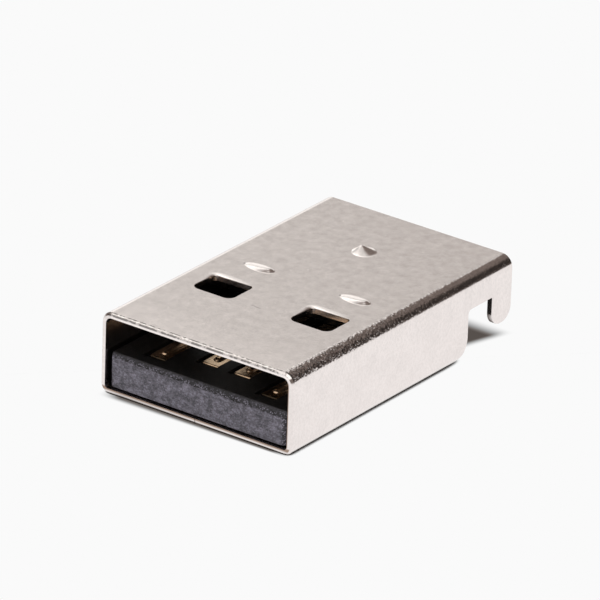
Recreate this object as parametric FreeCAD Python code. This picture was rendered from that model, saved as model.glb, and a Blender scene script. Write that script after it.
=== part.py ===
import FreeCAD, Part
import math
import os

from FreeCAD import Vector

# Plug for a flat four-way bus port, made to sink into the edge of a circuit board.
# X runs across the plug, Y from the mouth to the rear, Z from the underside to the roof.
# The origin is the middle of the underside. Distances called "from_mouth" run along Y.

# Shell: one blank of nickel-plated sheet, folded round into a flat tube
shell_width = 12.0
shell_height = 4.5
shell_length = 18.75
sheet = 0.30
roof_bend = 0.65
floor_bend = 0.50
mouth_coin = 0.13

# Stepped rear: the lower walls stop short, the roof runs on over the board
step_from_mouth = 15.0
step_corner = 1.10
board_top = 2.75
notch_corner = 0.22
leg_width = 1.70
leg_length = 1.70
leg_corner = 0.78

# Latch holes, a pair in the roof and a pair in the floor
latch_width = 2.50
latch_length = 2.00
latch_from_mouth = 5.16
latch_spacing = 6.10
latch_front_corner = 0.45
latch_rear_corner = 0.25

# Raised bumps of the roof: two oblong ones behind the holes, a round one near the rear
oblong_bump_width = 1.75
oblong_bump_length = 0.80
oblong_bump_height = 0.14
oblong_bump_spacing = 6.00
oblong_bump_from_mouth = 9.20
round_bump_diameter = 1.40
round_bump_height = 0.30
round_bump_from_mouth = 14.25
bump_blend = 0.12

# Seam in the middle of the floor, with two dovetail locks
seam_gap = 0.05
lock_from_mouth = 3.60
lock_pitch = 6.40
lock_root = 0.80
lock_head = 1.20
lock_reach = 0.85

# Tabs lanced out of the floor and bent up into the insulator
tab_width = 1.40
tab_length = 1.60
tab_rise = 0.40
tab_slit = 0.15
tab_spacing = 6.60
tab_from_mouth = 11.40

# Insulator: one moulding, a flat tongue in front of a block that fills the shell
tongue_side_gap = 0.18
tongue_thickness = 1.79
tongue_lift = 0.11
tongue_recess = 0.15
tongue_chamfer = 0.30
tongue_corner = 0.30
block_from_mouth = 10.20
block_rear_recess = 0.10
block_side_gap = 0.05
block_roof_gap = 0.05
pocket_gap = 0.10

# Contacts: four bent strips, the outer pair reaching further towards the mouth
contact_width = 1.00
contact_thickness = 0.25
contact_sink = 0.10
contact_bend = 0.30
outer_contact_pitch = 7.00
inner_contact_pitch = 2.00
outer_contact_from_mouth = 1.45
inner_contact_setback = 1.08
contact_tip_chamfer = 0.06
rib_width = 0.50
rib_height = 0.14
rib_setback = 0.45
rib_end_gap = 0.60
rise_start = 1.20
rise_run = 1.00
tail_reach = 2.20
slot_gap = 0.03
channel_side_gap = 0.15
channel_front_gap = 0.10
channel_ramp = 0.30
contact_stand = 0.08

mouth_y = -shell_length / 2
rear_y = shell_length / 2
half_width = shell_width / 2
inner_half_width = half_width - sheet
roof_underside = shell_height - sheet
tongue_half_width = inner_half_width - tongue_side_gap
tongue_bottom = sheet + tongue_lift
tongue_top = tongue_bottom + tongue_thickness
contact_top = tongue_top - contact_sink
contact_middle = contact_top - contact_thickness / 2
tail_middle = board_top + contact_thickness / 2
block_front_y = mouth_y + block_from_mouth
block_rear_y = mouth_y + step_from_mouth - block_rear_recess
leg_front_y = rear_y - leg_width
leg_bottom = board_top - leg_length
spare = 1.0
hair = 1e-5


def box(x0, x1, y0, y1, z0, z1):
    """Block between two corners."""
    return Part.makeBox(x1 - x0, y1 - y0, z1 - z0, Vector(x0, y0, z0))


def rounded_tube_core(half, low, high, low_radius, high_radius, y0, y1):
    """Bar along Y of rectangular section; its lower corners have one radius and its upper ones another."""
    bar = box(-half, half, y0, y1, low, high)
    lower = [edge for edge in bar.Edges if lies_along_y(edge) and edge.CenterOfMass.z < (low + high) / 2]
    bar = bar.makeFillet(low_radius, lower)
    upper = [edge for edge in bar.Edges if lies_along_y(edge) and is_level(edge, high)]
    corners = [edge for edge in upper if abs(abs(edge.CenterOfMass.x) - half) < hair]
    return bar.makeFillet(high_radius, corners)


def lies_along_y(edge):
    """True for a straight edge that runs from front to rear."""
    step = edge.Vertexes[-1].Point - edge.Vertexes[0].Point
    return abs(step.x) < hair and abs(step.z) < hair and abs(step.y) > hair


def is_level(edge, height):
    """True for an edge that lies in the plane at one height."""
    return all(abs(vertex.Z - height) < hair for vertex in edge.Vertexes)


def prism(outline, direction):
    """Closed outline of points carried along a direction."""
    return Part.Face(Part.makePolygon(outline + outline[:1])).extrude(direction)


def upright_edges(solid):
    """Straight edges that run from bottom to top."""
    found = []
    for edge in solid.Edges:
        step = edge.Vertexes[-1].Point - edge.Vertexes[0].Point
        if abs(step.x) < hair and abs(step.y) < hair and abs(step.z) > hair:
            found.append(edge)
    return found


def edges_across(solid, y, z):
    """Edges that run across the plug at one place of its side view."""
    found = []
    for edge in solid.Edges:
        ends = [vertex.Point for vertex in edge.Vertexes]
        if all(abs(end.y - y) < hair and abs(end.z - z) < hair for end in ends):
            found.append(edge)
    return found


# Shell
def shell_tube():
    """Folded tube with the outer edge of its mouth coined to a bevel."""
    outside = rounded_tube_core(half_width, 0, shell_height, floor_bend, roof_bend, mouth_y, rear_y)
    rim = [edge for edge in outside.Edges
           if all(abs(vertex.Y - mouth_y) < hair for vertex in edge.Vertexes)]
    outside = outside.makeChamfer(mouth_coin, rim)
    inside = rounded_tube_core(inner_half_width, sheet, roof_underside, floor_bend - sheet,
                               roof_bend - sheet, mouth_y - spare, rear_y + spare)
    return outside.cut(inside)


def rear_step():
    """What is cut away behind the lower walls and in front of the legs."""
    step_y = mouth_y + step_from_mouth
    under = box(-half_width - spare, half_width + spare, step_y, rear_y + spare, -spare, board_top)
    under = under.makeFillet(notch_corner, edges_across(under, step_y, board_top))
    corner = box(-half_width - spare, half_width + spare, step_y - step_corner, step_y + spare, -spare,
                 sheet / 2 + step_corner)
    corner_start = Vector(-half_width - spare, step_y - step_corner, sheet / 2 + step_corner)
    round_corner = Part.makeCylinder(step_corner, shell_width + 2 * spare, corner_start, Vector(1, 0, 0))
    legs = box(-half_width - spare, half_width + spare, leg_front_y, rear_y + 2 * spare, leg_bottom,
               board_top + spare)
    legs = legs.makeFillet(leg_corner, edges_across(legs, leg_front_y, leg_bottom))
    rear_cut = box(-half_width - spare, half_width + spare, rear_y - leg_corner, rear_y + 3 * spare,
                   leg_bottom - spare, leg_bottom + leg_corner)
    leg_start = Vector(-half_width - spare, rear_y - leg_corner, leg_bottom + leg_corner)
    rear_round = Part.makeCylinder(leg_corner, shell_width + 2 * spare, leg_start, Vector(1, 0, 0))
    legs = legs.cut(rear_cut.cut(rear_round))
    between_legs = box(-inner_half_width, inner_half_width, step_y, rear_y + spare, -spare, board_top)
    return under.cut(legs).fuse(corner.cut(round_corner)).fuse(between_legs)


def latch_hole(x, z0, z1):
    """Window for a latch spring of the port, its two front corners rounder than the rear ones."""
    front = mouth_y + latch_from_mouth
    window = box(x - latch_width / 2, x + latch_width / 2, front, front + latch_length, z0, z1)
    near = [edge for edge in upright_edges(window) if edge.CenterOfMass.y < front + latch_length / 2]
    window = window.makeFillet(latch_front_corner, near)
    far = [edge for edge in upright_edges(window) if edge.CenterOfMass.y > front + latch_length - hair]
    return window.makeFillet(latch_rear_corner, far)


def capped_ball_radius(width, height):
    """Radius of the ball whose cap has this width and height."""
    return ((width / 2) ** 2 + height ** 2) / (2 * height)


def oblong_dome(x, y, half_straight, radius, centre_z):
    """Two balls and the cylinder between them, side by side across the plug."""
    left = Part.makeSphere(radius, Vector(x - half_straight, y, centre_z))
    right = Part.makeSphere(radius, Vector(x + half_straight, y, centre_z))
    start = Vector(x - half_straight, y, centre_z)
    middle = Part.makeCylinder(radius, 2 * half_straight, start, Vector(1, 0, 0))
    return left.fuse(middle).fuse(right).removeSplitter()


def with_bump(shell, x, y, width, length, height):
    """Shell with one bump pressed out of the roof, its hollow side showing inside."""
    radius = capped_ball_radius(length, height)
    centre_z = shell_height + height - radius
    half_straight = (width - length) / 2
    if half_straight > 0:
        outer = oblong_dome(x, y, half_straight, radius, centre_z)
        inner = oblong_dome(x, y, half_straight, radius - sheet, centre_z)
    else:
        outer = Part.makeSphere(radius, Vector(x, y, centre_z))
        inner = Part.makeSphere(radius - sheet, Vector(x, y, centre_z))
    sheet_middle = roof_underside + sheet / 2
    above = box(x - width, x + width, y - length, y + length, sheet_middle, shell_height + spare)
    below = box(x - width, x + width, y - length, y + length, roof_underside - spare, shell_height + spare)
    raised = shell.fuse(outer.common(above)).removeSplitter()
    foot = [edge for edge in raised.Edges
            if is_level(edge, shell_height) and near_point(edge, x, y, width)]
    raised = raised.makeFillet(bump_blend, foot)
    return raised.cut(inner.common(below))


def near_point(edge, x, y, reach):
    """True for an edge whose whole box lies within a reach of one point of the plan."""
    limits = edge.BoundBox
    across = max(abs(limits.XMin - x), abs(limits.XMax - x))
    along = max(abs(limits.YMin - y), abs(limits.YMax - y))
    return max(across, along) < reach


def dovetail(y, grow):
    """Plan of one dovetail lock of the seam, made larger all round by a gap."""
    outline = [
        Vector(-seam_gap / 2, y - lock_root / 2 - grow, -spare),
        Vector(lock_reach + grow, y - lock_head / 2 - grow, -spare),
        Vector(lock_reach + grow, y + lock_head / 2 + grow, -spare),
        Vector(-seam_gap / 2, y + lock_root / 2 + grow, -spare),
    ]
    return prism(outline, Vector(0, 0, sheet + 1.5 * spare))


def seam():
    """Thin gap between the two edges of the blank, straight but for the dovetail locks."""
    gap = box(-seam_gap / 2, seam_gap / 2, mouth_y - spare, rear_y + spare, -spare, sheet + spare / 2)
    for place in range(2):
        y = mouth_y + lock_from_mouth + place * lock_pitch
        gap = gap.fuse(dovetail(y, seam_gap)).cut(dovetail(y, 0))
    return gap


def tab_window(x):
    """Hole that the lanced tab leaves in the floor, a slit wider than the tab on three sides."""
    front = mouth_y + tab_from_mouth
    half = tab_width / 2 + tab_slit
    return box(x - half, x + half, front, front + tab_length + tab_slit, -spare, sheet + spare / 2)


def tab(x):
    """Tab hinged at its front end and bent up to hold the insulator."""
    front = mouth_y + tab_from_mouth
    outline = [
        Vector(x - tab_width / 2, front - sheet / 2, 0),
        Vector(x - tab_width / 2, front, 0),
        Vector(x - tab_width / 2, front + tab_length, tab_rise),
        Vector(x - tab_width / 2, front + tab_length, tab_rise + sheet),
        Vector(x - tab_width / 2, front, sheet),
        Vector(x - tab_width / 2, front - sheet / 2, sheet),
    ]
    return prism(outline, Vector(tab_width, 0, 0))


def make_shell():
    """Whole shell as one folded piece."""
    shell = shell_tube().cut(rear_step())
    for side in (-1, 1):
        hole_x = side * latch_spacing / 2
        shell = shell.cut(latch_hole(hole_x, roof_underside - sheet, shell_height + spare))
        shell = shell.cut(latch_hole(hole_x, -spare, sheet + sheet / 2))
    bump_y = mouth_y + oblong_bump_from_mouth
    for side in (-1, 1):
        shell = with_bump(shell, side * oblong_bump_spacing / 2, bump_y, oblong_bump_width,
                          oblong_bump_length, oblong_bump_height)
    shell = with_bump(shell, 0, mouth_y + round_bump_from_mouth, round_bump_diameter, round_bump_diameter,
                      round_bump_height)
    shell = shell.cut(seam())
    for side in (-1, 1):
        shell = shell.cut(tab_window(side * tab_spacing / 2)).fuse(tab(side * tab_spacing / 2))
    return shell.removeSplitter()


# Contacts
def strip_outline(path, bend, low, high):
    """Side view of a strip along a path, with round bends, from low to high across its thickness."""
    lower = []
    upper = []
    last = len(path) - 1
    for index, point in enumerate(path):
        if index in (0, last):
            run = (path[1] - path[0]) if index == 0 else (path[last] - path[last - 1])
            normal = left_of(run)
            lower.append([point + normal * low])
            upper.append([point + normal * high])
            continue
        arriving = unit(point - path[index - 1])
        leaving = unit(path[index + 1] - point)
        turn = math.atan2(arriving.y * leaving.z - arriving.z * leaving.y, arriving.dot(leaving))
        side = math.copysign(1, turn)
        tangent = bend * math.tan(abs(turn) / 2)
        centre = point - arriving * tangent + left_of(arriving) * bend * side
        outward = unit(point - centre)
        for row, offset in ((lower, low), (upper, high)):
            start = point - arriving * tangent + left_of(arriving) * offset
            middle = centre + outward * (bend - side * offset)
            end = point + leaving * tangent + left_of(leaving) * offset
            row.append([start, middle, end])
    return lower, upper


def unit(vector):
    """Same direction, length one."""
    return vector * (1 / vector.Length)


def left_of(run):
    """Unit vector square to a run in the side view, on its upper side."""
    return unit(Vector(0, -run.z, run.y))


def row_edges(row):
    """Edges along one side of a strip: straight runs joined by arcs."""
    edges = []
    for current, following in zip(row, row[1:]):
        if len(current) == 3:
            edges.append(Part.Arc(*current).toShape())
        edges.append(Part.LineSegment(current[-1], following[0]).toShape())
    return edges


def bent_strip(x, width, path, bend, low, high):
    """Strip of metal of one width that follows a path of the side view."""
    lower, upper = strip_outline(path, bend, low, high)
    ends = [Part.LineSegment(lower[0][0], upper[0][0]).toShape(),
            Part.LineSegment(lower[-1][-1], upper[-1][-1]).toShape()]
    wire = Part.Wire(Part.__sortEdges__(row_edges(lower) + row_edges(upper) + ends))
    section = Part.Face(wire)
    section.translate(Vector(x - width / 2, 0, 0))
    return section.extrude(Vector(width, 0, 0))


def contact_path(tip_y, tail_y):
    """Middle line of a contact: flat on the tongue, a rise inside the block, flat on the board."""
    rise_y = block_front_y + rise_start
    return [
        Vector(0, tip_y, contact_middle),
        Vector(0, rise_y, contact_middle),
        Vector(0, rise_y + rise_run, tail_middle),
        Vector(0, tail_y, tail_middle),
    ]


def contact_rib(x, tip_y):
    """Coined rib along the middle of the mating surface, round at both ends."""
    radius = capped_ball_radius(rib_width, rib_height)
    centre_z = contact_top + rib_height - radius
    start = tip_y + rib_setback + rib_width / 2
    end = block_front_y - rib_end_gap
    bar = Part.makeCylinder(radius, end - start, Vector(x, start, centre_z), Vector(0, 1, 0))
    for y in (start, end):
        bar = bar.fuse(Part.makeSphere(radius, Vector(x, y, centre_z)))
    above = box(x - contact_width, x + contact_width, tip_y, block_front_y, contact_middle,
                tongue_top + spare)
    return bar.common(above)


def make_contact(x, tip_y):
    """One contact, its tip broken so that it doesn't stub the port's spring."""
    tail_y = mouth_y + step_from_mouth + tail_reach
    strip = bent_strip(x, contact_width, contact_path(tip_y, tail_y), contact_bend,
                       -contact_thickness / 2, contact_thickness / 2)
    strip = strip.makeChamfer(contact_tip_chamfer, edges_across(strip, tip_y, contact_top))
    return strip.fuse(contact_rib(x, tip_y)).removeSplitter()


def contact_slot(x, tip_y):
    """Room for one contact: a close slot along its path, open to a wider channel in the tongue."""
    path = contact_path(tip_y, block_rear_y + spare)
    width = contact_width + 2 * slot_gap
    slot = bent_strip(x, width, path, contact_bend, -contact_thickness / 2,
                      contact_thickness / 2 + slot_gap)
    channel_half = contact_width / 2 + channel_side_gap
    floor = contact_top - contact_stand
    front = tip_y - channel_front_gap
    outline = [
        Vector(x - channel_half, front - channel_ramp, tongue_top),
        Vector(x - channel_half, front - channel_ramp, tongue_top + spare),
        Vector(x - channel_half, block_front_y, tongue_top + spare),
        Vector(x - channel_half, block_front_y, floor),
        Vector(x - channel_half, front, floor),
    ]
    return slot.fuse(prism(outline, Vector(2 * channel_half, 0, 0)))


# Insulator
def tongue():
    """Flat tongue with round front corners and a bevel along its upper front edge."""
    front = mouth_y + tongue_recess
    half = tongue_half_width
    body = box(-half, half, front, block_front_y + spare, tongue_bottom, tongue_top)
    near = [edge for edge in upright_edges(body) if edge.CenterOfMass.y < front + tongue_corner]
    body = body.makeFillet(tongue_corner, near)
    wedge = [
        Vector(-half - spare, front, tongue_top - tongue_chamfer),
        Vector(-half - spare, front + tongue_chamfer, tongue_top),
        Vector(-half - spare, front + tongue_chamfer, tongue_top + spare),
        Vector(-half - spare, front - spare, tongue_top + spare),
        Vector(-half - spare, front - spare, tongue_top - tongue_chamfer),
    ]
    return body.cut(prism(wedge, Vector(2 * half + 2 * spare, 0, 0)))


def block():
    """Rear block that fills the shell and rests on its floor."""
    half = inner_half_width - block_side_gap
    return rounded_tube_core(half, sheet, roof_underside - block_roof_gap, floor_bend - sheet,
                             roof_bend - sheet, block_front_y, block_rear_y)


def tab_pocket(x):
    """Pocket in the underside of the block that the bent tab reaches into."""
    front = mouth_y + tab_from_mouth
    return box(x - tab_width / 2 - pocket_gap, x + tab_width / 2 + pocket_gap, front - pocket_gap,
               front + tab_length + pocket_gap, 0, tab_rise + sheet + pocket_gap)


def make_insulator(contact_places):
    """Whole moulding with its grooves, slots and pockets."""
    insulator = tongue().fuse(block()).removeSplitter()
    for x, tip_y in contact_places:
        insulator = insulator.cut(contact_slot(x, tip_y))
    for side in (-1, 1):
        insulator = insulator.cut(tab_pocket(side * tab_spacing / 2))
    return insulator


outer_tip_y = mouth_y + outer_contact_from_mouth
inner_tip_y = outer_tip_y + inner_contact_setback
contacts = {
    "contact_ground": (-outer_contact_pitch / 2, outer_tip_y),
    "contact_data_plus": (-inner_contact_pitch / 2, inner_tip_y),
    "contact_data_minus": (inner_contact_pitch / 2, inner_tip_y),
    "contact_power": (outer_contact_pitch / 2, outer_tip_y),
}

pieces = {"shell": make_shell(), "insulator": make_insulator(contacts.values())}
for name, (x, tip_y) in contacts.items():
    pieces[name] = make_contact(x, tip_y)

os.makedirs("parts", exist_ok=True)
for name, piece in pieces.items():
    piece.exportStep("parts/" + name + ".step")
    print(name, "solids", len(piece.Solids), "valid", piece.isValid(), "volume", round(piece.Volume, 3))
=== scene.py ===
import math

import bmesh
import bpy
from mathutils import Matrix, Vector


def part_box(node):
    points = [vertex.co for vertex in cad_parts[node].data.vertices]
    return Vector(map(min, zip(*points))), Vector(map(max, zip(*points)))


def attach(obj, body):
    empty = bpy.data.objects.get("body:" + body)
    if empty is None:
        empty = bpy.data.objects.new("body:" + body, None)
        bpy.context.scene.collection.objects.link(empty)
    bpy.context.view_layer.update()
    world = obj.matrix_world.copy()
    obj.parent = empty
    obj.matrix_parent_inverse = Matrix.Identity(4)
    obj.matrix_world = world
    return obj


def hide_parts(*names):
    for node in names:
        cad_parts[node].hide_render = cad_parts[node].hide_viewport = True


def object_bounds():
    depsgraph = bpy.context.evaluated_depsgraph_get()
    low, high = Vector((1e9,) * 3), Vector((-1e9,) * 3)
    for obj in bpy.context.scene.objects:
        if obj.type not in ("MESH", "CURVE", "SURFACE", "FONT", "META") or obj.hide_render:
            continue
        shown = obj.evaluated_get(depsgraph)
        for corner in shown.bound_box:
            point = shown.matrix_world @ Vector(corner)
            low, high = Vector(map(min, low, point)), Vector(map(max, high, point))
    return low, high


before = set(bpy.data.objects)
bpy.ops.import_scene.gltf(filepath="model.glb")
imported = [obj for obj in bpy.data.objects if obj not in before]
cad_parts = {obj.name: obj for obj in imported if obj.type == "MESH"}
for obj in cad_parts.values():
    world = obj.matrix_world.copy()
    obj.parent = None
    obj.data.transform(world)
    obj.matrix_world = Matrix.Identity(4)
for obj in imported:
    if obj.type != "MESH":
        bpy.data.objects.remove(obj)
cad_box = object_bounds()

# Camera
# A long lens about 0.4 m from the plug, looking down on its mouth and its right side.
# Sizes and places are in millimetres here and in the sections below, and angles are in degrees
# unless a comment says otherwise.
millimetre = 0.001
camera_place = Vector((220.26, -305.41, 176.69))
camera_azimuth = 35.864
camera_elevation = 24.697
camera_roll = 1.852
focal_length = 491.53
sensor_width = 36.0
nearest_seen = 10
farthest_seen = 20000

azimuth = math.radians(camera_azimuth)
elevation = math.radians(camera_elevation)
backwards = Vector((math.sin(azimuth) * math.cos(elevation), -math.cos(azimuth) * math.cos(elevation),
                    math.sin(elevation)))
level_right = Vector((0, 0, 1)).cross(backwards).normalized()
turn = Matrix((level_right, backwards.cross(level_right), backwards)).transposed().to_4x4()
lens = bpy.data.cameras.new("long_lens")
lens.lens = focal_length
lens.sensor_width = sensor_width
lens.clip_start = nearest_seen * millimetre
lens.clip_end = farthest_seen * millimetre
camera = bpy.data.objects.new("long_lens", lens)
camera.matrix_world = (Matrix.Translation(camera_place * millimetre) @ turn
                       @ Matrix.Rotation(math.radians(camera_roll), 4, "Z"))
bpy.context.scene.collection.objects.link(camera)
bpy.context.scene.camera = camera
bpy.context.scene.view_settings.view_transform = "Standard"


# Studio
# A matt white table under a soft sky that is brightest overhead. Reflections show a dim room with
# lit panels round the table instead, and one dark panel that takes light away.
table_size = 4000
table_white = "#FAFAFA"
table_grey = "#F0F0F0"
shadow_warmth = "#FAE6DA"
warm_until = 0.4

plug_side = cad_box[1][0] / millimetre
plug_front = cad_box[0][1] / millimetre
plug_rear = cad_box[1][1] / millimetre

# Contact shadow: how far the table looks for what covers it, and the shares of open sky where the
# shadow is full and where it ends
shadow_reach = 2.5
shadow_samples = 16
shadow_core = 0.22
shadow_end = 0.45
darkest_table = 0.02

# Shadow under the overhanging rear, a wedge that widens to the rear
overhang_shadow = 0.90
overhang_spread = 0.3
overhang_core = 2.45
overhang_edge = 3.15
overhang_start = plug_rear - 6.375
overhang_full = plug_rear - 4.375
overhang_fade = plug_rear - 0.775
overhang_end = plug_rear + 0.625

# Soft shadow in front of the mouth, narrower towards the right
front_shadow = 0.82
front_reach = 0.32
front_narrowing = 0.033
front_full = plug_side - 1.4
behind_lip_full = plug_front + 0.15
behind_lip_end = plug_front + 0.45

# A soft change: as the value in socket 0 runs from socket 1 to socket 2, the result runs from 3 to 4
soft = {"interpolation_type": "SMOOTHSTEP"}


def linear(hex_code):
    """Turns an sRGB hex colour to linear RGBA."""
    channels = [int(hex_code[place:place + 2], 16) / 255 for place in (1, 3, 5)]
    return [c / 12.92 if c <= 0.04045 else ((c + 0.055) / 1.055) ** 2.4 for c in channels] + [1]


def add(tree, kind, inputs=None, **settings):
    """Adds a node with its settings. Each input gets a value, or a link from a node or an output."""
    node = tree.nodes.new(kind)
    for name, value in settings.items():
        setattr(node, name, value)
    for socket, value in (inputs or {}).items():
        source = value.outputs[0] if isinstance(value, bpy.types.Node) else value
        if isinstance(source, bpy.types.NodeSocket):
            tree.links.new(source, node.inputs[socket])
        else:
            node.inputs[socket].default_value = source
    return node


def product(tree, first, *others):
    """Several patterns or shares multiplied together."""
    for other in others:
        first = add(tree, "ShaderNodeMath", {0: first, 1: other}, operation="MULTIPLY")
    return first


def strongest(tree, first, *others):
    """The largest of several patterns."""
    for other in others:
        first = add(tree, "ShaderNodeMath", {0: first, 1: other}, operation="MAXIMUM")
    return first


def on_object(tree):
    """Place on the object in millimetres, as a whole and as its three coordinates."""
    metres = add(tree, "ShaderNodeTexCoord").outputs["Object"]
    place = add(tree, "ShaderNodeVectorMath", {0: metres, "Scale": 1 / millimetre}, operation="SCALE")
    axes = add(tree, "ShaderNodeSeparateXYZ", {0: place})
    return place, axes.outputs["X"], axes.outputs["Y"], axes.outputs["Z"]


def new_material(name):
    """Gives an empty material with its node tree and its output node."""
    material = bpy.data.materials.new(name)
    material.use_nodes = True
    material.node_tree.nodes.clear()
    return material, material.node_tree, add(material.node_tree, "ShaderNodeOutputMaterial")


def to_object(bm, name, material):
    """Turns a bmesh in millimetres to an object in metres with smooth shading."""
    mesh = bpy.data.meshes.new(name)
    bm.to_mesh(mesh)
    bm.free()
    mesh.transform(Matrix.Scale(millimetre, 4))
    mesh.materials.append(material)
    mesh.polygons.foreach_set("use_smooth", [True] * len(mesh.polygons))
    made = bpy.data.objects.new(name, mesh)
    bpy.context.scene.collection.objects.link(made)
    return made


# Matt white paint: it shows its own white wherever it is open, and darkens in the three shadows
paint, tree, output = new_material("matt_white_table")
place, across, along, up = on_object(tree)
openness = add(tree, "ShaderNodeAmbientOcclusion", {"Distance": shadow_reach * millimetre},
               samples=shadow_samples)
bright = add(tree, "ShaderNodeMapRange", {0: openness.outputs["AO"], 1: shadow_core, 2: shadow_end,
                                          3: darkest_table}, **soft)
aside = add(tree, "ShaderNodeMath", {0: across}, operation="ABSOLUTE")
beside = add(tree, "ShaderNodeMath", {0: along, 1: -overhang_spread, 2: aside}, operation="MULTIPLY_ADD")
under_rear = product(
    tree,
    add(tree, "ShaderNodeMapRange", {0: beside, 1: overhang_core, 2: overhang_edge, 3: overhang_shadow,
                                     4: 0.0}, **soft),
    add(tree, "ShaderNodeMapRange", {0: along, 1: overhang_fade, 2: overhang_end, 3: 1.0, 4: 0.0}, **soft),
    add(tree, "ShaderNodeMapRange", {0: along, 1: overhang_start, 2: overhang_full}, **soft))
bright = product(tree, bright, add(tree, "ShaderNodeMath", {0: 1.0, 1: under_rear}, operation="SUBTRACT"))
reach = add(tree, "ShaderNodeMath", {0: across, 1: -front_narrowing, 2: front_reach},
            operation="MULTIPLY_ADD")
ahead = add(tree, "ShaderNodeMath", {0: plug_front, 1: along}, operation="SUBTRACT")
ahead = add(tree, "ShaderNodeMath", {0: ahead, 1: reach}, operation="DIVIDE")
before_mouth = product(
    tree,
    add(tree, "ShaderNodeMapRange", {0: ahead, 3: front_shadow, 4: 0.0}, **soft),
    add(tree, "ShaderNodeMapRange", {0: aside, 1: front_full, 2: plug_side, 3: 1.0, 4: 0.0}, **soft),
    add(tree, "ShaderNodeMapRange", {0: along, 1: behind_lip_full, 2: behind_lip_end, 3: 1.0,
                                     4: 0.0}, **soft))
lit = add(tree, "ShaderNodeMath", {0: 1.0, 1: before_mouth}, operation="SUBTRACT")
bright = add(tree, "ShaderNodeMath", {0: bright, 1: lit}, operation="MINIMUM")
path = add(tree, "ShaderNodeLightPath").outputs
seen = strongest(tree, path["Is Camera Ray"], path["Is Glossy Ray"], path["Is Transmission Ray"])
warmth = add(tree, "ShaderNodeMix", {
    0: add(tree, "ShaderNodeMapRange", {0: bright, 1: 0.0, 2: warm_until}, **soft),
    6: linear(shadow_warmth), 7: linear(table_white)}, data_type="RGBA").outputs[2]
dull = add(tree, "ShaderNodeBsdfDiffuse", {"Color": linear(table_grey)})
glow = add(tree, "ShaderNodeEmission", {"Color": warmth, "Strength": bright})
surface = add(tree, "ShaderNodeMixShader", {0: seen, 1: dull, 2: glow})
tree.links.new(surface.outputs[0], output.inputs["Surface"])
bm = bmesh.new()
bmesh.ops.create_grid(bm, x_segments=1, y_segments=1, size=table_size / 2)
table = to_object(bm, "table", paint)

# Each panel: azimuth to the right of the rear, elevation, radius where it is full, radius where it
# ends, and the brightness it adds
room = 0.18
panels = [
    (-40, 38, 8, 17, 0.66),
    (-66, 44, 8, 20, 0.45),
    (-62, 62, 12, 30, 0.62),
    (-62, 22, 10, 24, 0.45),
    (-42, 2, 11, 24, 1.00),
    (-136, 42, 10, 22, 0.90),
    (150, 56, 20, 30, 1.05),
    (32, 20, 6, 26, -0.15),
]
horizon_height = 0.05
overhead_height = 0.75
horizon_glow = 0.25
overhead_glow = 1.25
dim_tint = "#FFEBE1"
bright_tint = "#FFFEFB"
dim_below = 0.2
bright_above = 0.6

world = bpy.data.worlds.new("studio")
bpy.context.scene.world = world
world.use_nodes = True
tree = world.node_tree
tree.nodes.clear()
toward = add(tree, "ShaderNodeTexCoord").outputs["Generated"]
level = room
for panel_azimuth, panel_elevation, inner, outer, brightness in panels:
    azimuth, elevation = math.radians(panel_azimuth), math.radians(panel_elevation)
    direction = (math.sin(azimuth) * math.cos(elevation), math.cos(azimuth) * math.cos(elevation),
                 math.sin(elevation))
    closeness = add(tree, "ShaderNodeVectorMath", {0: toward, 1: direction}, operation="DOT_PRODUCT")
    panel = add(tree, "ShaderNodeMapRange", {0: closeness.outputs["Value"], 1: math.cos(math.radians(outer)),
                                             2: math.cos(math.radians(inner)), 4: brightness}, **soft)
    level = add(tree, "ShaderNodeMath", {0: level, 1: panel}, operation="ADD")
height = add(tree, "ShaderNodeSeparateXYZ", {0: toward}).outputs["Z"]
sky_glow = add(tree, "ShaderNodeMapRange", {0: height, 1: horizon_height, 2: overhead_height,
                                            3: horizon_glow, 4: overhead_glow}, **soft)
path = add(tree, "ShaderNodeLightPath").outputs
around = add(tree, "ShaderNodeMix", {0: path["Is Glossy Ray"], 2: sky_glow, 3: level}, data_type="FLOAT")
strength = add(tree, "ShaderNodeMix", {0: path["Is Camera Ray"], 2: around, 3: 1.0}, data_type="FLOAT")
tint = add(tree, "ShaderNodeMix", {
    0: add(tree, "ShaderNodeMapRange", {0: level, 1: dim_below, 2: bright_above}, **soft),
    6: linear(dim_tint), 7: linear(bright_tint)}, data_type="RGBA").outputs[2]
sky = add(tree, "ShaderNodeBackground", {"Color": tint, "Strength": strength})
add(tree, "ShaderNodeOutputWorld", {"Surface": sky})


# Shell
# One blank of nickel-plated sheet, punched flat, pressed with three bumps and coined round the mouth.
# It is folded to a flat tube whose edges lock with dovetails along the middle of the floor.
shell_low, shell_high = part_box("shell")
half_width = shell_high.x / millimetre
mouth = shell_low.y / millimetre
rear = shell_high.y / millimetre
highest_bump = 0.30
roof = shell_high.z / millimetre - highest_bump
sheet = 0.30
roof_bend = 0.65
floor_bend = 0.50
roof_steps = 12
floor_steps = 8
mouth_coin = 0.13
sheared_edge = 0.02

# Rear of a side wall: the rounded step at the board's edge, the notch and the solder leg
step = mouth + 15.0
step_corner = 1.10
board_top = 2.75
notch_corner = 0.22
leg_width = 1.70
leg_length = 1.70
leg_corner = 0.78
leg_steps = 10
notch_steps = 5
step_steps = 12

# Latch windows, whose edges the punch has rolled down, most at the rear left corner
latch_width = 2.50
latch_length = 2.00
latch_front = mouth + 5.16
latch_place = 3.05
latch_front_corner = 0.45
latch_rear_corner = 0.25
latch_steps = 8
rolled_width = 0.32
rolled_depth = 0.06
rolled_least = 0.03
rolled_fall = 1.2
rolled_curve = 1.5
rolled_rings = [1.1, 1.0, 0.8, 0.6, 0.4, 0.2, 0]

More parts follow.
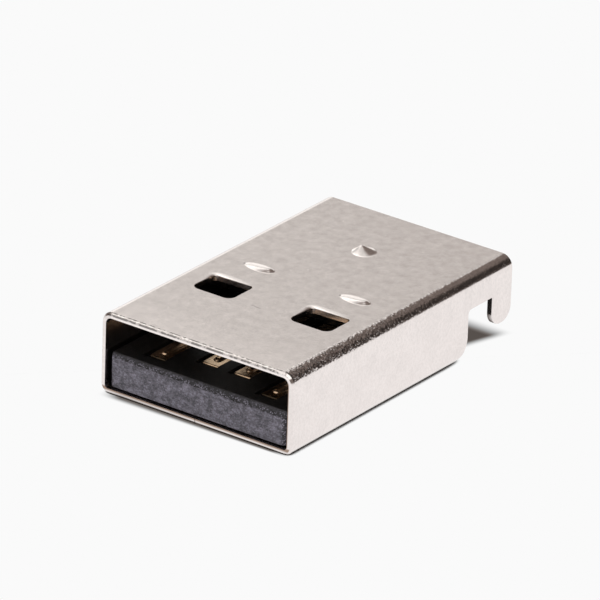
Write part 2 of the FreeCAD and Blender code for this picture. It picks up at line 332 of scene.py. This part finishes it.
# Oblong bumps: their tops climb to the right and fall to the rear, and their left flanks are softer
oblong_bumps = [(-3.00, mouth + 9.20), (3.02, mouth + 9.20)]
oblong_half_width = 0.875
oblong_half_length = 0.40
oblong_height = 0.17
oblong_flank = 0.70
oblong_softer = 0.3
oblong_turn = 3
oblong_climb = 0.94
oblong_curve = 1.6
oblong_lean = 0.34
oblong_shoulder = 4

# Round bump: a cone with a rounded tip that is pushed over to the left
round_bump = (-0.08, mouth + 14.22)
round_radius = 0.68
round_tip = 0.16
round_foot = 0.45
round_offset = (-0.24, 0.04)
bump_rings = [1.1, 1.0, 0.96, 0.92, 0.87, 0.81, 0.74, 0.66, 0.58, 0.5, 0.42, 0.34, 0.26, 0.18, 0.1, 0.04]
bump_points = 56
bump_middle = 0.01

# Seam along the middle of the floor, with two dovetail locks
seam_gap = 0.02
lock_places = [mouth + 3.60, mouth + 10.00]
lock_root = 0.80
lock_head = 1.20
lock_reach = 0.85

# Tabs lanced out of the floor and bent in, which hold the moulding
tab_place = 3.30
tab_front = mouth + 11.40
tab_width = 1.40
tab_length = 1.60
tab_rise = 0.40
tab_slit = 0.15

# Distances over the blank, from the middle of the roof round to the seam
roof_half = half_width - roof_bend
floor_half = half_width - floor_bend
wall_start = roof_half + roof_bend * math.pi / 2
wall_end = wall_start + roof - roof_bend - floor_bend
floor_start = wall_end + floor_bend * math.pi / 2
seam = floor_start + floor_half


def down_wall(z):
    """Place on the blank, from the middle of the roof, of a height on the side wall or the lower bend."""
    if z >= floor_bend:
        return wall_start + roof - roof_bend - z
    return wall_end + floor_bend * math.asin((floor_bend - z) / floor_bend)


def arc(centre, radius, start, end, steps):
    """Points of an arc on the blank."""
    points = []
    for place in range(steps + 1):
        angle = math.radians(start + (end - start) * place / steps)
        points.append((centre[0] + radius * math.cos(angle), centre[1] + radius * math.sin(angle)))
    return points


def rear_outline():
    """Right half of the blank behind the mouth: leg, notch, rounded step and the end of the floor."""
    foot = down_wall(board_top - leg_length + leg_corner)
    points = arc((foot, rear - leg_corner), leg_corner, 90, 0, leg_steps)
    points += arc((foot, rear - leg_width + leg_corner), leg_corner, 0, -90, leg_steps)
    points.append((down_wall(board_top), rear - leg_width))
    notch = (down_wall(board_top - notch_corner), step + notch_corner)
    points += arc(notch, notch_corner, 180, 270, notch_steps)
    for place in range(step_steps + 1):
        angle = math.radians(90 * place / step_steps)
        height = sheet / 2 + step_corner * (1 - math.sin(angle))
        points.append((down_wall(height), step - step_corner * (1 - math.cos(angle))))
    return points


def seam_outline(side):
    """One edge of the seam, from the rear to the mouth: sockets on the right, dovetails on the left."""
    tight = 0 if side < 0 else seam_gap
    edge = seam - seam_gap / 2
    towards = 1 if side < 0 else -1
    points = [(edge, step - step_corner)]
    for y in reversed(lock_places):
        points.append((edge, y + lock_root / 2 + tight))
        points.append((seam + towards * (lock_reach + tight), y + lock_head / 2 + tight))
        points.append((seam + towards * (lock_reach + tight), y - lock_head / 2 - tight))
        points.append((edge, y - lock_root / 2 - tight))
    points.append((edge, mouth))
    return points


def latch_outline(x, growth):
    """Rounded window for a latch spring of the port, or a larger outline round it."""
    left = x - latch_width / 2
    right = x + latch_width / 2
    back = latch_front + latch_length
    middle = latch_front + latch_length / 2
    points = []
    for side, end, corner, start in ((left, latch_front, latch_front_corner, 180),
                                     (right, latch_front, latch_front_corner, 270),
                                     (right, back, latch_rear_corner, 0),
                                     (left, back, latch_rear_corner, 90)):
        centre = (side + math.copysign(corner, x - side), end + math.copysign(corner, middle - end))
        points += arc(centre, corner + growth, start, start + 90, latch_steps)
    return points


def slit_outline(x):
    """Three-sided slit that frees a tab of the floor."""
    inner = tab_width / 2
    outer = inner + tab_slit
    back = tab_front + tab_length
    return [(x - outer, tab_front), (x - outer, back + tab_slit), (x + outer, back + tab_slit),
            (x + outer, tab_front), (x + inner, tab_front), (x + inner, back), (x - inner, back),
            (x - inner, tab_front)]


def folded(point):
    """Where a point of the flat blank goes when the blank is folded round."""
    side = 1 if point.x >= 0 else -1
    run = abs(point.x)
    if run <= roof_half:
        return Vector((point.x, point.y, roof + point.z))
    if run <= wall_start:
        angle = (run - roof_half) / roof_bend
        reach = roof_bend + point.z
        return Vector((side * (roof_half + reach * math.sin(angle)), point.y,
                       roof - roof_bend + reach * math.cos(angle)))
    if run <= wall_end:
        return Vector((side * (half_width + point.z), point.y, roof - roof_bend - (run - wall_start)))
    if run <= floor_start:
        angle = (run - wall_end) / floor_bend
        reach = floor_bend + point.z
        return Vector((side * (floor_half + reach * math.cos(angle)), point.y,
                       floor_bend - reach * math.sin(angle)))
    return Vector((side * (seam - run), point.y, -point.z))


def window_roll(point):
    """How far the blank is rolled down beside a latch window."""
    across = min(abs(point.x), seam - abs(point.x)) - latch_place
    along = point.y - latch_front - latch_length / 2
    corner = latch_front_corner if along < 0 else latch_rear_corner
    beside = max(0, abs(across) - latch_width / 2 + corner)
    beyond = max(0, abs(along) - latch_length / 2 + corner)
    away = (math.hypot(beside, beyond) - corner) / rolled_width
    if away >= 1:
        return 0
    aside = math.copysign(across, across * point.x) / latch_width + 0.5
    from_corner = math.hypot(aside, (along - latch_length / 2) / latch_width)
    return (rolled_depth * (1 - max(0, away)) ** 2
            * max(rolled_least, 1 - rolled_fall * from_corner) ** rolled_curve)


def oblong_lift(point, x, y):
    """How far an oblong bump lifts a point of the blank."""
    across = (point.x - x) / oblong_half_width
    along = (point.y - y) / oblong_half_length
    reach = max(bump_middle, math.hypot(across, along))
    if reach >= 1:
        return 0
    steepness = math.hypot(across / oblong_half_width, along / oblong_half_length) / reach
    softer = oblong_softer * (1 - math.tanh(oblong_turn * across))
    flank = oblong_flank * (1 - softer) * (1 - reach) / steepness
    top = oblong_height * (1 - oblong_climb * (0.5 - 0.5 * across) ** oblong_curve)
    top *= 1 - oblong_lean * (0.5 + 0.5 * along)
    return flank * top / (flank ** oblong_shoulder + top ** oblong_shoulder) ** (1 / oblong_shoulder)


def round_lift(point):
    """How far the round bump lifts a point; its tip isn't over the middle of its round foot."""
    x = point.x - round_bump[0] - round_offset[0]
    y = point.y - round_bump[1] - round_offset[1]
    leaning = x * round_offset[0] + y * round_offset[1]
    room_left = round_radius ** 2 - math.hypot(*round_offset) ** 2
    distance = (leaning + math.sqrt(leaning ** 2 + room_left * math.hypot(x, y) ** 2)) / room_left
    if distance >= 1:
        return 0
    foot = math.hypot(1, round_tip)
    cone = (foot - math.hypot(distance, round_tip)) / (foot - round_tip)
    return highest_bump * cone ** 2 * (1 + round_foot) / (cone + round_foot)


def tab_bend(point):
    """How far a lanced tab of the floor is bent in."""
    from_tab = abs(abs(seam - abs(point.x)) - tab_place)
    beyond = point.y - tab_front
    on_tab = from_tab < (tab_width + tab_slit) / 2 and 0 < beyond < tab_length + tab_slit / 2
    return tab_rise * beyond / tab_length if on_tab and abs(point.x) > floor_start else 0


def pressed(point):
    """A point of the flat blank after its bumps, rolled window edges and tabs are pressed."""
    lift = -window_roll(point)
    for x, y in oblong_bumps:
        lift += oblong_lift(point, x, y)
    lift += round_lift(point)
    lift -= tab_bend(point)
    return Vector((point.x, point.y, point.z + lift))


def skin_normal(point, side):
    """Direction square to the finished sheet at a point of the blank, towards the skin's own side."""
    small = 0.001
    across = folded(pressed(point + Vector((small, 0, 0)))) - folded(pressed(point - Vector((small, 0, 0))))
    along = folded(pressed(point + Vector((0, small, 0)))) - folded(pressed(point - Vector((0, small, 0))))
    return across.cross(along).normalized() * side


def closed_loop(bm, points):
    """Edges that join points of the blank to a closed outline."""
    corners = [bm.verts.new((x, y, 0)) for x, y in points]
    return [bm.edges.new((corners[place - 1], corners[place])) for place in range(len(corners))]


def joined(bm, rings):
    """Fills the strips between rings that lie one inside the other, and gives the outermost ring."""
    for outer, inner in zip(rings, rings[1:]):
        bmesh.ops.bridge_loops(bm, edges=outer + inner)
    return rings[0]


# The flat blank: its outline, and a finer mesh round the windows and on the bumps
bm = bmesh.new()
right_half = rear_outline() + seam_outline(1)
left_half = [(-x, y) for x, y in rear_outline() + seam_outline(-1)]
outlines = closed_loop(bm, right_half + left_half[::-1])
for x in (-latch_place, latch_place, latch_place - seam, seam - latch_place):
    rings = [closed_loop(bm, latch_outline(x, rolled_width * share)) for share in rolled_rings]
    outlines += joined(bm, rings)
for x in (tab_place - seam, seam - tab_place):
    outlines += closed_loop(bm, slit_outline(x))
bumps = [(centre, (oblong_half_width, oblong_half_length), (0, 0)) for centre in oblong_bumps]
bumps.append((round_bump, (round_radius, round_radius), round_offset))
for (x, y), (half_across, half_along), (aside, back) in bumps:
    rings = []
    for share in bump_rings:
        corners = bmesh.ops.create_circle(bm, segments=bump_points, radius=share)["verts"]
        shift = 1 - min(1, share)
        for corner in corners:
            corner.co = (x + aside * shift + corner.co.x * half_across,
                         y + back * shift + corner.co.y * half_along, 0)
        rings.append(list(dict.fromkeys(edge for corner in corners for edge in corner.link_edges)))
    outlines += joined(bm, rings)
    bmesh.ops.edgenet_fill(bm, edges=rings[-1])
bmesh.ops.triangle_fill(bm, use_beauty=True, use_dissolve=False, edges=outlines, normal=(0, 0, 1))
bmesh.ops.recalc_face_normals(bm, faces=bm.faces)
if sum(face.normal.z for face in bm.faces) < 0:
    bmesh.ops.reverse_faces(bm, faces=bm.faces)
bmesh.ops.solidify(bm, geom=bm.faces, thickness=sheet)
bmesh.ops.recalc_face_normals(bm, faces=bm.faces)

# A hair's breadth, within which places count as one, and the least turn in radians of an edge that is
# broken: the square rim of the mouth, and every edge that the press has sheared
hair = 1e-4
square_turn = 1.0
sheared_turn = 0.6


def turning_edges(least):
    """Edges of the blank that turn by more than an angle in radians."""
    return [edge for edge in bm.edges if edge.calc_face_angle(0) > least]


def on_rim(edge):
    """True for an edge of the blank's outer skin along the mouth."""
    return all(abs(corner.co.z) < hair and abs(corner.co.y - mouth) < hair for corner in edge.verts)


def broken(edges, width, steps):
    """Breaks sharp edges of the blank to a bevel of a width."""
    bmesh.ops.bevel(bm, geom=edges, offset=width, offset_type="OFFSET", affect="EDGES", segments=steps,
                    profile=0.5, material=-1, clamp_overlap=False)


broken([edge for edge in turning_edges(square_turn) if on_rim(edge)], mouth_coin, 1)
broken(turning_edges(sheared_turn), sheared_edge, 2)

# Cuts along the lines where the blank bends, then the press and the fold
bend_lines = [roof_half + (wall_start - roof_half) * place / roof_steps for place in range(roof_steps + 1)]
bend_lines += [wall_end + (floor_start - wall_end) * place / floor_steps for place in range(floor_steps + 1)]
cuts = [((side * run, 0, 0), (1, 0, 0)) for run in bend_lines for side in (-1, 1)]
cuts.append(((0, tab_front, 0), (0, 1, 0)))
for point, direction in cuts:
    bmesh.ops.bisect_plane(bm, geom=bm.verts[:] + bm.edges[:] + bm.faces[:], dist=hair / 10, plane_co=point,
                           plane_no=direction)
normals = {}
for corner in bm.verts:
    flat = corner.co.copy()
    if abs(flat.z) < hair:
        normals[corner] = skin_normal(flat, 1)
    elif abs(flat.z + sheet) < hair:
        normals[corner] = skin_normal(flat, -1)
    corner.co = folded(pressed(flat))
bmesh.ops.recalc_face_normals(bm, faces=bm.faces)
for corner in bm.verts:
    if corner not in normals:
        total = sum((face.normal * face.calc_area() for face in corner.link_faces), Vector())
        normals[corner] = total.normalized()
shell_normals = [tuple(normals[corner]) for corner in bm.verts]


def grain(tree, place, size, detail=2.0, stretch=(1, 1, 1), window=None, tones=(0.0, 1.0)):
    """Noise with grains of a size, longer along an axis by its stretch. A window of it spreads over tones."""
    scaled = add(tree, "ShaderNodeVectorMath", {0: place, 1: [1 / (size * part) for part in stretch]},
                 operation="MULTIPLY")
    noise = add(tree, "ShaderNodeTexNoise", {"Vector": scaled, "Scale": 1.0, "Detail": detail}).outputs[0]
    if window is None:
        return noise
    return add(tree, "ShaderNodeMapRange", {0: noise, 1: window[0], 2: window[1], 3: tones[0], 4: tones[1]},
               **soft)


def specks(tree, place, spacing, size, share):
    """Round specks of a size, one in each cell of a spacing, of which only a share is there."""
    core = 0.4 * size
    cells = add(tree, "ShaderNodeTexVoronoi", {"Vector": place, "Scale": 1 / spacing}).outputs
    near = add(tree, "ShaderNodeMapRange", {0: cells["Distance"], 1: size / spacing, 2: core / spacing},
               **soft)
    draw = add(tree, "ShaderNodeSeparateColor", {0: cells["Color"]})
    return product(tree, near, add(tree, "ShaderNodeMath", {0: draw, 1: share}, operation="LESS_THAN"))


def band(tree, value, start, end, flank):
    """1 where a value lies between two ends, with soft flanks outside them."""
    return product(
        tree, add(tree, "ShaderNodeMapRange", {0: value, 1: start - flank, 2: start}, **soft),
        add(tree, "ShaderNodeMapRange", {0: value, 1: end, 2: end + flank, 3: 1.0, 4: 0.0}, **soft))


# Nickel plate: satin, with fine stains and pits. It is pebbled where the sheet is stretched round the right
# bend and flecked where the mouth is coined. Painted shade darkens lines along the coined edge, the left bend
# and the browner inner edge of the lip, and painted light brightens the upper lip and the roof near the
# mouth.
# The pebbles and flecks are drawn coarser than the real ones so that they show.
nickel_plate = "#F1E9E6"
lip_shade_brown = "#A08A7C"
plain_window = (0.3, 0.7)
stain_size = 0.9
stain_tones = (0.975, 1.02)
smudge_size = 0.14
smudge_tones = (0.965, 1.025)
peel_size = 0.10
peel_window = (0.38, 0.62)
peel_tones = (0.48, 1.04)
pit_spacing = 0.55
pit_size = 0.06
pit_share = 0.35
pit_tone = 0.16
grit_spacing = 0.09
grit_size = 0.05
grit_share = 0.6
pebble_size = 0.15
pebble_middle = 0.4
fleck_size = 0.08
fleck_window = (0.40, 0.60)
fleck_tones = (0.86, 1.12)
ripple_size = 0.12
ripple_height = 0.0002
pebble_height = 0.028
grit_height = 0.010
fleck_height = 0.006
pit_depth = 0.004
polish_size = 0.5
satin = (0.17, 0.22)
bend_polish = 0.07
painted_front_light = 1.07
scratch_and_shade_tone = 0.30
lip_highlight_tone = 1.12
left_bend_painted_shade = 0.83

# Where each finish starts and where it is full
bend_low = roof - roof_bend + 0.12
bend_high = roof - roof_bend + 0.40
bend_inside = roof_half - 0.05
bend_outside = roof_half + 0.15
rough_low = roof - 0.52
rough_high = roof - 0.34
rough_front = mouth + 1
rough_rear = rear - 2
rough_left_at_rear = 0.25
coin_end = mouth + mouth_coin
coin_fade = (roof_half - 0.6, roof_half - 0.2)
painted_light_fade = (mouth + 0.2, mouth + 3.0)

nickel, tree, output = new_material("satin_nickel_plate")
place, across, along, up = on_object(tree)
bend_height = add(tree, "ShaderNodeMapRange", {0: up, 1: bend_low, 2: bend_high}, **soft)
on_bend = product(tree, bend_height, add(tree, "ShaderNodeMapRange", {
    0: across, 1: bend_inside, 2: bend_outside}, **soft))
# Painted shade: the left bend is darkened
on_left_bend = product(tree, bend_height, add(tree, "ShaderNodeMapRange", {
    0: across, 1: -bend_inside, 2: -bend_outside}, **soft))
on_roof = add(tree, "ShaderNodeMapRange", {0: up, 1: roof - 0.20, 2: roof - 0.14}, **soft)
on_coin = product(
    tree, on_roof, band(tree, along, mouth + 0.02, coin_end, 0.02),
    add(tree, "ShaderNodeMapRange", {0: across, 1: coin_fade[0], 2: coin_fade[1], 3: 1.0, 4: 0.0}, **soft))
on_lip = add(tree, "ShaderNodeMapRange", {0: along, 1: mouth + 0.03, 2: mouth + 0.01}, **soft)
rough_bend = product(
    tree, on_bend,
    add(tree, "ShaderNodeMapRange", {0: along, 1: rough_front, 2: rough_rear, 3: 1.0,
                                     4: rough_left_at_rear}, **soft),
    add(tree, "ShaderNodeMapRange", {0: up, 1: rough_low, 2: rough_high}, **soft),
    add(tree, "ShaderNodeMapRange", {0: along, 1: coin_end, 2: coin_end + 0.1}, **soft))

stains = grain(tree, place, stain_size, 4.0, window=plain_window, tones=stain_tones)
smudges = grain(tree, place, smudge_size, 3.0, (1, 1, 1.3), plain_window, smudge_tones)
peel = grain(tree, place, peel_size, window=peel_window, tones=peel_tones)
pits = specks(tree, place, pit_spacing, pit_size, pit_share)
grit = product(tree, specks(tree, place, grit_spacing, grit_size, grit_share), rough_bend)
flecks = grain(tree, place, fleck_size, 1.0, (2.5, 1, 1))
fleck_tone = add(tree, "ShaderNodeMapRange", {0: flecks, 1: fleck_window[0], 2: fleck_window[1],
                                              3: fleck_tones[0], 4: fleck_tones[1]}, **soft)
cells = add(tree, "ShaderNodeTexVoronoi", {"Vector": place, "Scale": 1 / pebble_size}).outputs["Distance"]
pebbles = add(tree, "ShaderNodeMath", {0: cells, 1: pebble_middle}, operation="SUBTRACT")

# Dark lines: two broken lines of painted shade along the creases of the coined edge and one round its right
# corner, a scratch on the roof, and a dark spot at the left end of each oblong bump
lower_line_end = mouth + 0.045
lower_line_fade = (roof_half - 0.35, roof_half - 0.20)
line_flank = 0.015
lower_broken = grain(tree, place, 0.22, window=(0.40, 0.50), tones=(0.45, 1.0))
upper_broken = grain(tree, place, 0.30, window=(0.40, 0.56), tones=(0.25, 1.0))
lower_painted_line = product(
    tree, lower_broken, band(tree, along, mouth - 0.01, lower_line_end, line_flank),
    add(tree, "ShaderNodeMapRange", {0: across, 1: lower_line_fade[0], 2: lower_line_fade[1], 3: 1.0,
                                     4: 0.0}, **soft))
upper_painted_line = product(tree, upper_broken, band(tree, along, coin_end - 0.02, coin_end + 0.01, line_flank))
painted_corner_line = product(tree, on_bend, band(tree, along, coin_end, coin_end + 0.06, 2 * line_flank))
scratch_place = mouth + 5.28
scratch_lean = 0.09
scratch_left = -0.55
scratch_right = -0.05
scratch_half_width = 0.012
scratch_depth = 0.7
end_spot_core = 0.03
end_spot_radius = 0.09
end_spot_darkness = 0.9
scratch_run = add(tree, "ShaderNodeMath", {0: across, 1: scratch_lean, 2: along}, operation="MULTIPLY_ADD")
scratch = product(
    tree, band(tree, scratch_run, scratch_place - scratch_half_width, scratch_place + scratch_half_width,
               scratch_half_width),
    band(tree, across, scratch_left, scratch_right, 0.1), on_roof, scratch_depth)
painted_mouth_lines = product(tree, on_roof, strongest(tree, lower_painted_line, upper_painted_line))
scratch_and_painted_shade = strongest(tree, painted_mouth_lines, painted_corner_line, scratch)
# A dark spot at the left end of each oblong bump
for bump_x, bump_y in oblong_bumps:
    end_spot = (bump_x - oblong_half_width - 0.04, bump_y - 0.03, roof)
    away = add(tree, "ShaderNodeVectorMath", {0: place, 1: end_spot}, operation="DISTANCE").outputs["Value"]
    scratch_and_painted_shade = strongest(tree, scratch_and_painted_shade, add(tree, "ShaderNodeMapRange", {
        0: away, 1: end_spot_core, 2: end_spot_radius, 3: end_spot_darkness, 4: 0.0}, **soft))

# The lip of the mouth: a painted highlight along the roof, and painted shade in a browner colour along the
# inner edge of the floor and right wall
painted_lip_highlight = product(tree, on_lip, band(tree, up, roof - sheet - 0.02, roof - sheet + 0.08, 0.02))
inner_floor = band(tree, up, sheet - 0.03, sheet + 0.05, 0.11)
inner_right = product(tree, band(tree, across, half_width - sheet, half_width - sheet + 0.03, 0.05),
                      band(tree, up, 0.6, 3.7, 0.4))
painted_inner_edge_shade = product(tree, on_lip, strongest(tree, inner_floor, inner_right))
# Painted light: the roof is painted brighter near the mouth, fading towards the rear
painted_front_light_tone = add(tree, "ShaderNodeMapRange", {0: along, 1: painted_light_fade[0], 2: painted_light_fade[1], 3: painted_front_light,
                                              4: 1.0}, **soft)

shade = add(tree, "ShaderNodeMath", {0: pits, 1: -pit_tone, 2: product(tree, stains, smudges)},
            operation="MULTIPLY_ADD")
for area, tone in ((rough_bend, peel), (on_coin, fleck_tone), (on_roof, painted_front_light_tone)):
    shade = product(tree, shade, add(tree, "ShaderNodeMix", {0: area, 2: 1.0, 3: tone}, data_type="FLOAT"))
for area, tone in ((scratch_and_painted_shade, scratch_and_shade_tone), (painted_lip_highlight, lip_highlight_tone), (on_left_bend, left_bend_painted_shade)):
    shade = product(tree, shade, add(tree, "ShaderNodeMapRange", {0: area, 3: 1.0, 4: tone}, **soft))
# Painted shade: the inner edge of the lip is mixed towards a darker brown
colour = add(tree, "ShaderNodeMix", {0: painted_inner_edge_shade, 6: linear(nickel_plate), 7: linear(lip_shade_brown)},
             data_type="RGBA").outputs[2]
relief = product(tree, grain(tree, place, ripple_size, 3.0), ripple_height)
for pattern, height in ((product(tree, pebbles, rough_bend), pebble_height), (grit, grit_height),
                        (product(tree, flecks, on_coin), fleck_height), (pits, -pit_depth)):
    relief = add(tree, "ShaderNodeMath", {0: pattern, 1: height, 2: relief}, operation="MULTIPLY_ADD")
polish = grain(tree, place, polish_size, 3.0, window=plain_window, tones=satin)
roughness = add(tree, "ShaderNodeMath", {0: on_bend, 1: -bend_polish, 2: polish}, operation="MULTIPLY_ADD")
metal = add(tree, "ShaderNodeBsdfPrincipled", {
    "Base Color": add(tree, "ShaderNodeVectorMath", {0: colour, "Scale": shade}, operation="SCALE"),
    "Metallic": 1.0, "Roughness": roughness,
    "Normal": add(tree, "ShaderNodeBump", {"Strength": 1.0, "Distance": millimetre, "Height": relief})})
tree.links.new(metal.outputs[0], output.inputs["Surface"])
shell = to_object(bm, "folded_shell", nickel)
shell.data.normals_split_custom_set_from_vertices(shell_normals)
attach(shell, "root")
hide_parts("shell")


# Insulator
# One moulding of black glass-filled nylon: the tongue that carries the contacts, and the block behind
# it. Its front is scuffed grey, made lighter still by painted light, and a line of painted shade runs
# along the foot of its chamfer.
mould_radius = 0.03
rounded_turn = 35
flat_turn = 0.5
tongue_front = mouth + 0.15
lit_scuff_end = tongue_front + 0.35
lit_scuff_full = tongue_front + 0.05
chamfer_foot = 1.96
chamfer_lean = 0.011
shaded_corner = 5.22
corner_shade = 0.8


def from_solid(name):
    """The solid's own mesh in millimetres, with its flat faces whole again."""
    bm = bmesh.new()
    bm.from_mesh(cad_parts[name].data)
    bmesh.ops.scale(bm, vec=(1 / millimetre, 1 / millimetre, 1 / millimetre), verts=bm.verts)
    bmesh.ops.remove_doubles(bm, verts=bm.verts, dist=hair)
    bmesh.ops.dissolve_limit(bm, angle_limit=math.radians(flat_turn), verts=bm.verts, edges=bm.edges)
    return bm


def rounded(piece, radius):
    """Rounds the edges of a piece and keeps its flat faces flat in the light."""
    rounding = piece.modifiers.new("rounded_edges", "BEVEL")
    rounding.width = radius * millimetre
    rounding.segments = 2
    rounding.limit_method = "ANGLE"
    rounding.angle_limit = math.radians(rounded_turn)
    piece.modifiers.new("flat_faces", "WEIGHTED_NORMAL").weight = 50


# Moulded nylon: deep black where it is untouched, and cloudy grey-blue on the front, where it is scuffed
# and lightened by painted light, with glints of glass fibre that show most on the chamfer. Painted shade
# darkens the chamfer and the rounded right end of the front. The fibres are drawn coarser than the real ones.
nylon_black = "#0A0A0B"
scuffed_and_lit_grey = "#5D5D69"
beside_chamfer_tone = 1.1
chamfer_painted_shade = 0.24
cloud_size = 0.34
cloud_window = (0.34, 0.66)
cloud_tones = (0.58, 1.30)
dust_size = 0.09
dust_window = (0.35, 0.65)
dust_tones = (0.62, 1.36)
glint_spacing = 0.09
glint_size = 0.05
glint_share = 0.7
glint_tone = 2.4
front_glints = 0.25
foot_line_half_width = 0.015
foot_line_shade = 0.55
mould_grain = 0.08
mould_height = 0.012
nylon_roughness = 0.5

nylon, tree, output = new_material("black_glass_filled_nylon")
place, across, along, up = on_object(tree)
on_front = add(tree, "ShaderNodeMapRange", {0: along, 1: lit_scuff_end, 2: lit_scuff_full}, **soft)
above_foot = add(tree, "ShaderNodeMath", {0: across, 1: chamfer_lean, 2: up}, operation="MULTIPLY_ADD")
# Painted shade on the chamfer and on the rounded right end of the front
on_chamfer = product(tree, on_front, strongest(
    tree,
    add(tree, "ShaderNodeMapRange", {0: above_foot, 1: chamfer_foot - 0.01, 2: chamfer_foot + 0.05}, **soft),
    add(tree, "ShaderNodeMapRange", {0: across, 1: shaded_corner, 2: shaded_corner + 0.12,
                                     4: corner_shade}, **soft)))
cloud = grain(tree, place, cloud_size, 5.0, (1.5, 1, 1), cloud_window, cloud_tones)
dust = grain(tree, place, dust_size, 2.0, (1.4, 1, 1), dust_window, dust_tones)
painted_slope_shade = add(tree, "ShaderNodeMapRange", {0: on_chamfer, 3: beside_chamfer_tone, 4: chamfer_painted_shade}, **soft)
glints = product(tree, specks(tree, place, glint_spacing, glint_size, glint_share),
                 add(tree, "ShaderNodeMapRange", {0: on_chamfer, 3: front_glints}, **soft))
# Painted shade: a dark line along the foot of the chamfer
foot_shade_line = band(tree, above_foot, chamfer_foot - foot_line_half_width, chamfer_foot + foot_line_half_width, 0.02)
shade = product(tree, cloud, dust, painted_slope_shade)
for pattern, tone in ((glints, glint_tone), (foot_shade_line, -foot_line_shade)):
    shade = add(tree, "ShaderNodeMath", {0: pattern, 1: tone, 2: shade}, operation="MULTIPLY_ADD")
colour = add(tree, "ShaderNodeMix", {0: on_front, 6: linear(nylon_black), 7: linear(scuffed_and_lit_grey)},
             data_type="RGBA").outputs[2]
relief = product(tree, grain(tree, place, mould_grain, 3.0), mould_height)
plastic = add(tree, "ShaderNodeBsdfPrincipled", {
    "Base Color": add(tree, "ShaderNodeVectorMath", {0: colour, "Scale": shade}, operation="SCALE"),
    "Roughness": nylon_roughness,
    "Normal": add(tree, "ShaderNodeBump", {"Strength": 1.0, "Distance": millimetre, "Height": relief})})
tree.links.new(plastic.outputs[0], output.inputs["Surface"])
insulator = to_object(from_solid("insulator"), "moulded_insulator", nylon)
rounded(insulator, mould_radius)
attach(insulator, "root")
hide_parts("insulator")


# Contacts
# Four strips of gold-plated brass, stamped and bent, pressed into slots of the moulding from behind.
# The outer pair reaches further towards the mouth, and painted shade darkens its chamfered tips.
stamped_radius = 0.018
outer_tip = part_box("contact_ground")[0].y / millimetre
tip_chamfer = 0.06
tip_fade = 0.04
tip_painted_shade = 0.06

# Gold plate: bright and a little stained, with faint drawing lines along the strip
gold_plate = "#FADCB8"
gold_roughness = 0.22
stain_size = 0.2
stain_tones = (0.86, 1.0)
drawing_line = 0.03
drawing_stretch = 30
drawing_height = 0.0006
dent_size = 0.15
dent_height = 0.004

gold, tree, output = new_material("bright_gold_plate")
place, across, along, up = on_object(tree)
stains = grain(tree, place, stain_size, 3.0, window=plain_window, tones=stain_tones)
# Painted shade on the tips of the outer pair
behind_tip = add(tree, "ShaderNodeMapRange", {0: along, 1: outer_tip + tip_chamfer,
                                              2: outer_tip + tip_chamfer + tip_fade}, **soft)
shade = product(tree, stains, add(tree, "ShaderNodeMapRange", {0: behind_tip, 3: tip_painted_shade}, **soft))
lines = product(tree, grain(tree, place, drawing_line, 2.0, (1, drawing_stretch, 1)), drawing_height)
relief = add(tree, "ShaderNodeMath", {0: grain(tree, place, dent_size, 3.0), 1: dent_height, 2: lines},
             operation="MULTIPLY_ADD")
metal = add(tree, "ShaderNodeBsdfPrincipled", {
    "Base Color": add(tree, "ShaderNodeVectorMath", {0: linear(gold_plate)[:3], "Scale": shade},
                      operation="SCALE"),
    "Metallic": 1.0, "Roughness": gold_roughness,
    "Normal": add(tree, "ShaderNodeBump", {"Strength": 1.0, "Distance": millimetre, "Height": relief})})
tree.links.new(metal.outputs[0], output.inputs["Surface"])
for name in ("contact_ground", "contact_data_plus", "contact_data_minus", "contact_power"):
    contact = to_object(from_solid(name), name.replace("contact", "strip"), gold)
    rounded(contact, stamped_radius)
    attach(contact, "root")
    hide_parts(name)
